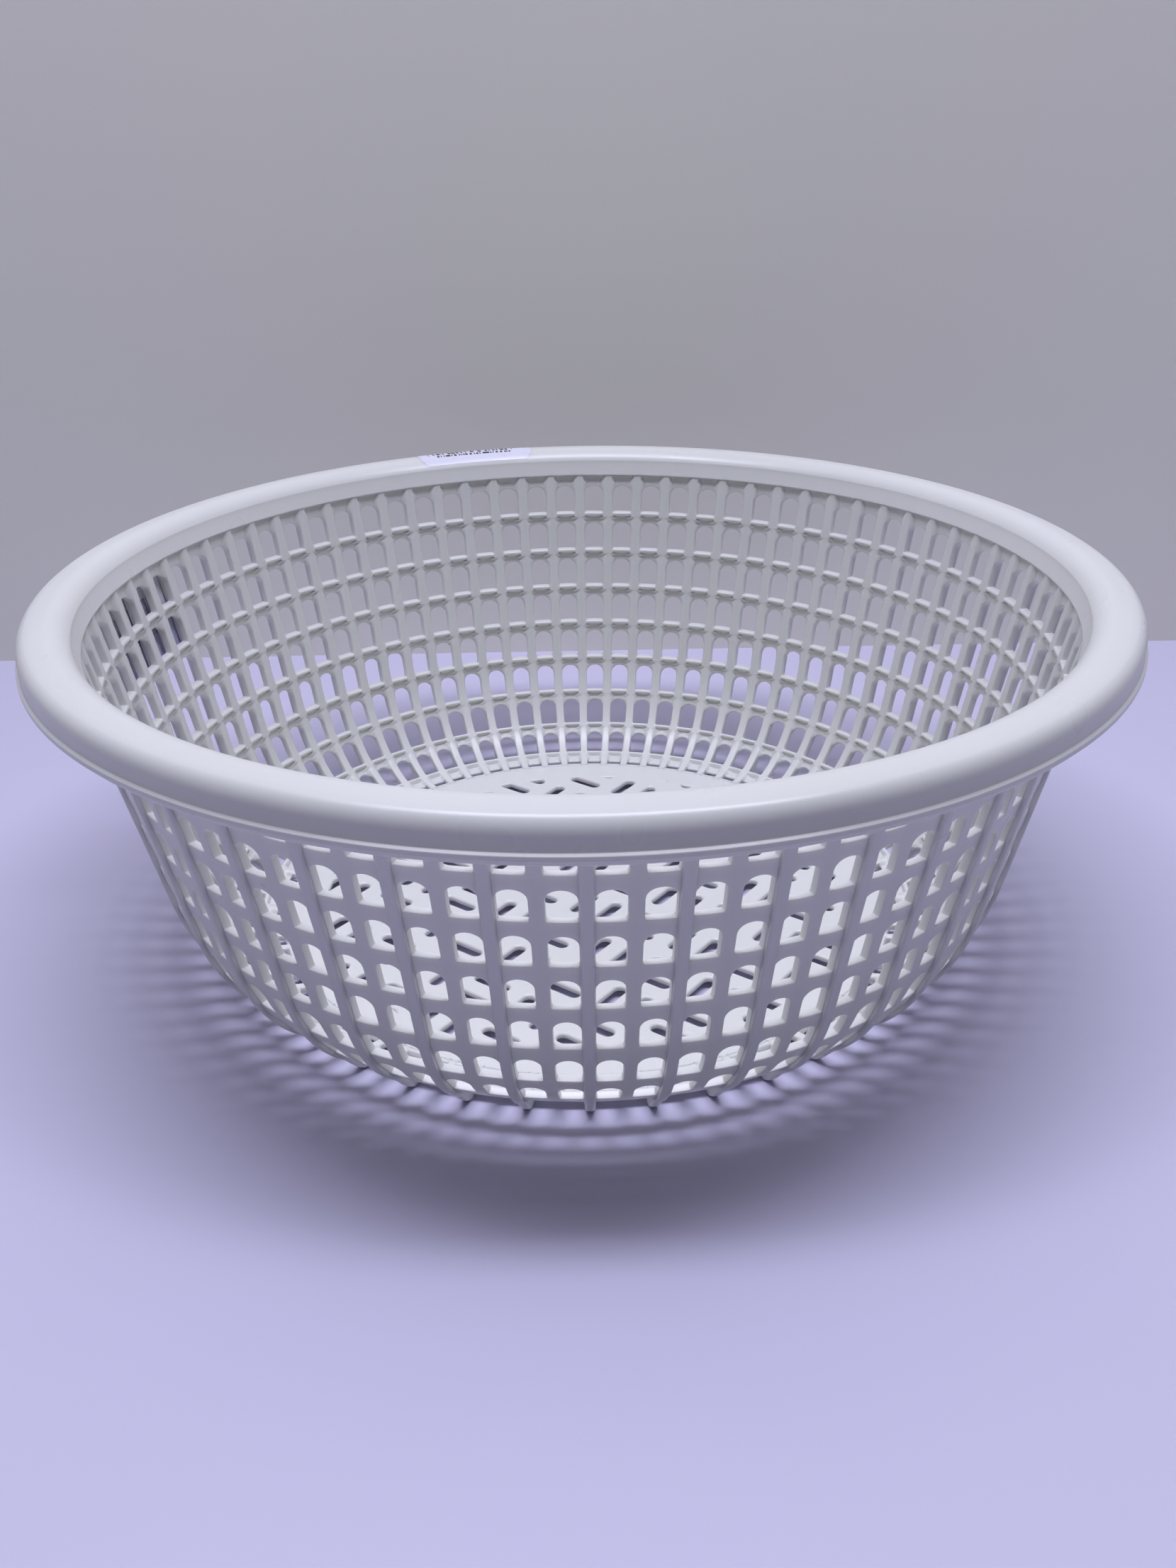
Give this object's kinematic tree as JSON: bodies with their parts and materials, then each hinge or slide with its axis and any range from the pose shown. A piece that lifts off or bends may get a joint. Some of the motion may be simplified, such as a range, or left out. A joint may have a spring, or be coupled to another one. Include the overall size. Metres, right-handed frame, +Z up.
{
  "type": "round plastic colander basket",
  "caption": "Round moulded plastic colander basket with a rolled rim, arched windows in its wall, outer ribs and a basket-weave slotted base.",
  "frame": {"origin": "centre of the circle of feet, on the plane they stand on", "axes": "+Z up along the basket's axis, +Y from the near side to the far side where the rim label is, +X to the right"},
  "size_m": [0.3999, 0.4, 0.1452],
  "materials": {
    "basket_plastic": "smooth moulded white plastic, satin gloss",
    "label_paper": "printed paper label under a clear film"
  },
  "bodies": {
    "root": {"rim_flange": "basket_plastic", "wall_band": "basket_plastic", "wall_course_1": "basket_plastic", "wall_course_2": "basket_plastic", "wall_course_3": "basket_plastic", "wall_course_4": "basket_plastic", "wall_course_5": "basket_plastic", "wall_course_6": "basket_plastic", "wall_course_7": "basket_plastic", "wall_course_8": "basket_plastic", "drain_course": "basket_plastic", "wall_ribs": "basket_plastic", "base_ring": "basket_plastic", "base_grille": "basket_plastic", "rim_label": "label_paper", "wall_label": "label_paper"}
  },
  "joints": []
}
